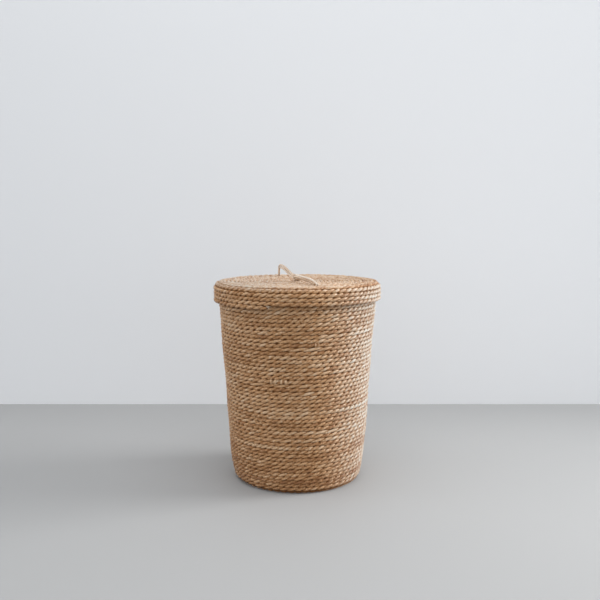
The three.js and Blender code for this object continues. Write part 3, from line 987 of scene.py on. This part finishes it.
def fibre_group():
    """Tone, blotches and streaks are added up, centred on a half, and the sum goes from dark through
    middle to light fibre. Then a painted highlight is laid over it, times how exposed the fibre is and how
    pale, and last a painted shade colour where the strand turns inwards."""
    group = bpy.data.node_groups.new("strand_fibres", "ShaderNodeTree")
    face = group.interface
    for name in FIBRE_COLOURS:
        face.new_socket(name, in_out="INPUT", socket_type="NodeSocketColor")
    for name, value in FIBRE_GRAIN.items():
        face.new_socket(name, in_out="INPUT", socket_type="NodeSocketFloat").default_value = value
    face.new_socket("Base Color", in_out="OUTPUT", socket_type="NodeSocketColor")
    for name in ("Roughness", "Coat Weight", "Bump Height"):
        face.new_socket(name, in_out="OUTPUT", socket_type="NodeSocketFloat")
    given = group.nodes.new("NodeGroupInput")
    result = group.nodes.new("NodeGroupOutput")
    dark, middle, light, deep, highlight_fibre = (given.outputs[name] for name in FIBRE_COLOURS)
    fineness, squeeze, blotch_fineness, blotch_squeeze = (given.outputs[name] for name in FIBRE_GRAIN)
    place = carried(group, "fibre", "Vector")
    fine = streaks(group, place, fineness, squeeze, STREAK_DETAIL)
    broad = streaks(group, place, blotch_fineness, blotch_squeeze, BLOTCH_DETAIL)
    centring = -0.5 * (TONE_SHARE + BLOTCH_SHARE + STREAK_SHARE - 1)
    amount = weigh(group, carried(group, "tone", "Fac"), TONE_SHARE, centring)
    amount = weigh(group, broad, BLOTCH_SHARE, amount)
    amount = weigh(group, fine, STREAK_SHARE, amount)
    height, right, facing = height_and_side(group)
    # The fibres are made a little darker towards the foot.
    amount = weigh(group, ranged(group, height, FOOT_HEIGHTS, (-FOOT_DARKENING, 0.0)), 1.0, amount)
    colour = blend(group, amount, DARK_TO_MIDDLE, dark, middle)
    colour = blend(group, amount, MIDDLE_TO_LIGHT, colour, light)
    distance = group.nodes.new("ShaderNodeMath")
    distance.operation = "ABSOLUTE"
    link(group, carried(group, "openness", "Fac"), distance.inputs[0])
    depth = distance.outputs["Value"]
    # Painted highlight: paler fibre towards the window and on the lid's top, most on the crowns and on
    # paler fibres.
    exposed = ranged(group, depth, EXPOSED_DEPTHS, EXPOSED_SHARE)
    pale = times(group, painted_highlight_mask(group, height, right, facing), exposed)
    pale = times(group, pale, weigh(group, amount, PALER_FIBRES, PALER_START))
    colour = blend(group, pale, (0.0, PAINTED_HIGHLIGHT_REACH), colour, highlight_fibre)
    # Painted shade: fibres that turn inwards, between the courses and on a strand's flanks, go towards the
    # shade colour.
    colour = blend(group, depth, (0.0, PAINTED_SHADE_REACH), deep, colour)
    roughness = weigh(group, fine, ROUGHNESS_STREAKS, FIBRE_ROUGHNESS)
    link(group, colour, result.inputs["Base Color"])
    link(group, roughness, result.inputs["Roughness"])
    link(group, ranged(group, depth, GLOSS_DEPTHS, GLOSS), result.inputs["Coat Weight"])
    link(group, weigh(group, broad, BLOTCH_BUMP, fine), result.inputs["Bump Height"])
    return group


strand_fibres = fibre_group()
print("group", strand_fibres.name)

# %% [markdown]
# The rope and the cord each have a material of their own round that group: brown fibre with a strong
# relief for the rope, and paler, finer fibre with a weak relief for the cord.

# %% Rope and cord materials
# In each list the fourth colour is the painted shade between the courses, and the fifth the painted
# highlight.
ROPE_COLOURS = [
    (0.25, 0.107, 0.038), (0.51, 0.275, 0.12), (0.65, 0.475, 0.315),
    (0.14, 0.052, 0.015), (0.53, 0.53, 0.485),
]
CORD_COLOURS = [
    (0.45, 0.29, 0.17), (0.64, 0.465, 0.31), (0.86, 0.74, 0.59),
    (0.33, 0.185, 0.09), (0.95, 0.92, 0.87),
]
FIBRE_SURFACE = {"Coat Roughness": 0.35, "Specular IOR Level": 0.1, "Sheen Roughness": 0.4}
RELIEF_DISTANCE = 0.0006


def fibre_material(name, colours, grain, bump, sheen):
    """`colours` are in the order of FIBRE_COLOURS, and `grain` in that of FIBRE_GRAIN."""
    material = bpy.data.materials.new(name)
    material.use_nodes = True
    tree = material.node_tree
    surface = tree.nodes["Principled BSDF"]
    fibre = tree.nodes.new("ShaderNodeGroup")
    fibre.node_tree = strand_fibres
    values = [(*colour, 1) for colour in colours] + list(grain)
    for socket, value in zip((*FIBRE_COLOURS, *FIBRE_GRAIN), values):
        fibre.inputs[socket].default_value = value
    relief = tree.nodes.new("ShaderNodeBump")
    relief.inputs["Strength"].default_value = bump
    relief.inputs["Distance"].default_value = RELIEF_DISTANCE
    for socket in ("Base Color", "Roughness", "Coat Weight"):
        link(tree, fibre.outputs[socket], surface.inputs[socket])
    link(tree, fibre.outputs["Bump Height"], relief.inputs["Height"])
    link(tree, relief.outputs["Normal"], surface.inputs["Normal"])
    for socket, value in FIBRE_SURFACE.items():
        surface.inputs[socket].default_value = value
    surface.inputs["Sheen Weight"].default_value = sheen
    return material


rope_material = fibre_material("rope_fibre", ROPE_COLOURS, (0.9, 0.14, 0.48, 0.6), bump=1.0, sheen=0.02)
cord_material = fibre_material("pale_cord", CORD_COLOURS, (1.6, 0.12, 0.5, 0.3), bump=0.5, sheen=0.06)
for piece in rope_pieces:
    piece.data.materials.append(rope_material)
for piece in cord_pieces:
    piece.data.materials.append(cord_material)
print("materials", [material.name for material in bpy.data.materials])

# %% [markdown]
# The stage is a plain pale floor that meets a plain wall behind the basket. The wall lets light and
# sight through from behind, so that the basket can be looked at from every side.

# %% Stage
WALL_BEHIND = 706.0
HALF_ROOM = 5000
ROOM_HEIGHT = 3000


def plain(name, corners, colour, roughness, see_through_back=False):
    """A flat surface between four corners in millimetres, in one colour."""
    mesh = bpy.data.meshes.new(name)
    points = MM * np.array(corners, float)
    mesh.from_pydata(points.tolist(), [], [(0, 1, 2, 3)])
    piece = bpy.data.objects.new(name, mesh)
    bpy.context.scene.collection.objects.link(piece)
    material = bpy.data.materials.new(name + "_paint")
    material.use_nodes = True
    tree = material.node_tree
    surface = tree.nodes["Principled BSDF"]
    surface.inputs["Base Color"].default_value = (*colour, 1)
    surface.inputs["Roughness"].default_value = roughness
    if see_through_back:
        side = tree.nodes.new("ShaderNodeNewGeometry")
        clear = tree.nodes.new("ShaderNodeBsdfTransparent")
        mix = tree.nodes.new("ShaderNodeMixShader")
        link(tree, side.outputs["Backfacing"], mix.inputs["Fac"])
        link(tree, surface.outputs["BSDF"], mix.inputs[1])
        link(tree, clear.outputs["BSDF"], mix.inputs[2])
        link(tree, mix.outputs["Shader"], tree.nodes["Material Output"].inputs["Surface"])
    mesh.materials.append(material)


square = ((-1, -1), (1, -1), (1, 1), (-1, 1))
floor_corners = [(x * HALF_ROOM, y * HALF_ROOM, 0) for x, y in square]
wall_corners = [(x * HALF_ROOM, WALL_BEHIND, (1 + z) / 2 * ROOM_HEIGHT) for x, z in square]
plain("floor", floor_corners, (0.375, 0.373, 0.368), 0.7)
plain("wall", wall_corners, (0.84, 0.845, 0.853), 0.9, see_through_back=True)
print("wall at", WALL_BEHIND, "mm")

# %% [markdown]
# The light is soft daylight. A window on the right and a larger one far back on the right give the fibres
# there a pale gloss. A broad light from the ceiling and an even one from everywhere fill the shadows, and
# a weak one on the left lifts the dark side a little.

# %% Light
DAYLIGHT = (0.98, 0.99, 1.0)
SKY = (0.86, 0.89, 0.93, 1)
SKY_STRENGTH = 0.88


def soft_light(name, place, aim, size, power, spread=180):
    """A rectangle of light that faces its aim: it is tilted from straight down by the angle to the aim,
    and then turned to the aim's bearing."""
    data = bpy.data.lights.new(name, "AREA")
    data.shape = "RECTANGLE"
    data.size, data.size_y = size
    data.energy = power
    data.color = DAYLIGHT
    data.spread = math.radians(spread)
    light = bpy.data.objects.new(name, data)
    light.location = place
    direction = np.array(aim, float) - np.array(place, float)
    yaw = math.atan2(direction[1], direction[0]) - math.pi / 2
    tilt = math.atan2(math.hypot(direction[0], direction[1]), -direction[2])
    light.rotation_euler = (tilt, 0, yaw)
    bpy.context.scene.collection.objects.link(light)
    return light


lights = [
    soft_light("window", (2.5, 0.25, 1.3), (0, -0.45, 0.35), (1.4, 1.6), 22, 80),
    soft_light("far_window", (1.9, 1.9, 0.8), (0, 0, 0.4), (3.2, 2.2), 312),
    soft_light("left_fill", (-2.0, 0.15, 0.7), (-0.2, 0.1, 0.3), (1.0, 1.2), 0.7, 30),
    soft_light("ceiling", (0.2, -1.0, 3.0), (0, 0, 0.2), (3.0, 3.0), 34),
]
world = bpy.data.worlds.new("room")
world.use_nodes = True
sky = world.node_tree.nodes["Background"]
sky.inputs["Color"].default_value = SKY
sky.inputs["Strength"].default_value = SKY_STRENGTH
bpy.context.scene.world = world
bpy.context.scene.view_settings.view_transform = "Standard"
print("lights", [light.name for light in lights])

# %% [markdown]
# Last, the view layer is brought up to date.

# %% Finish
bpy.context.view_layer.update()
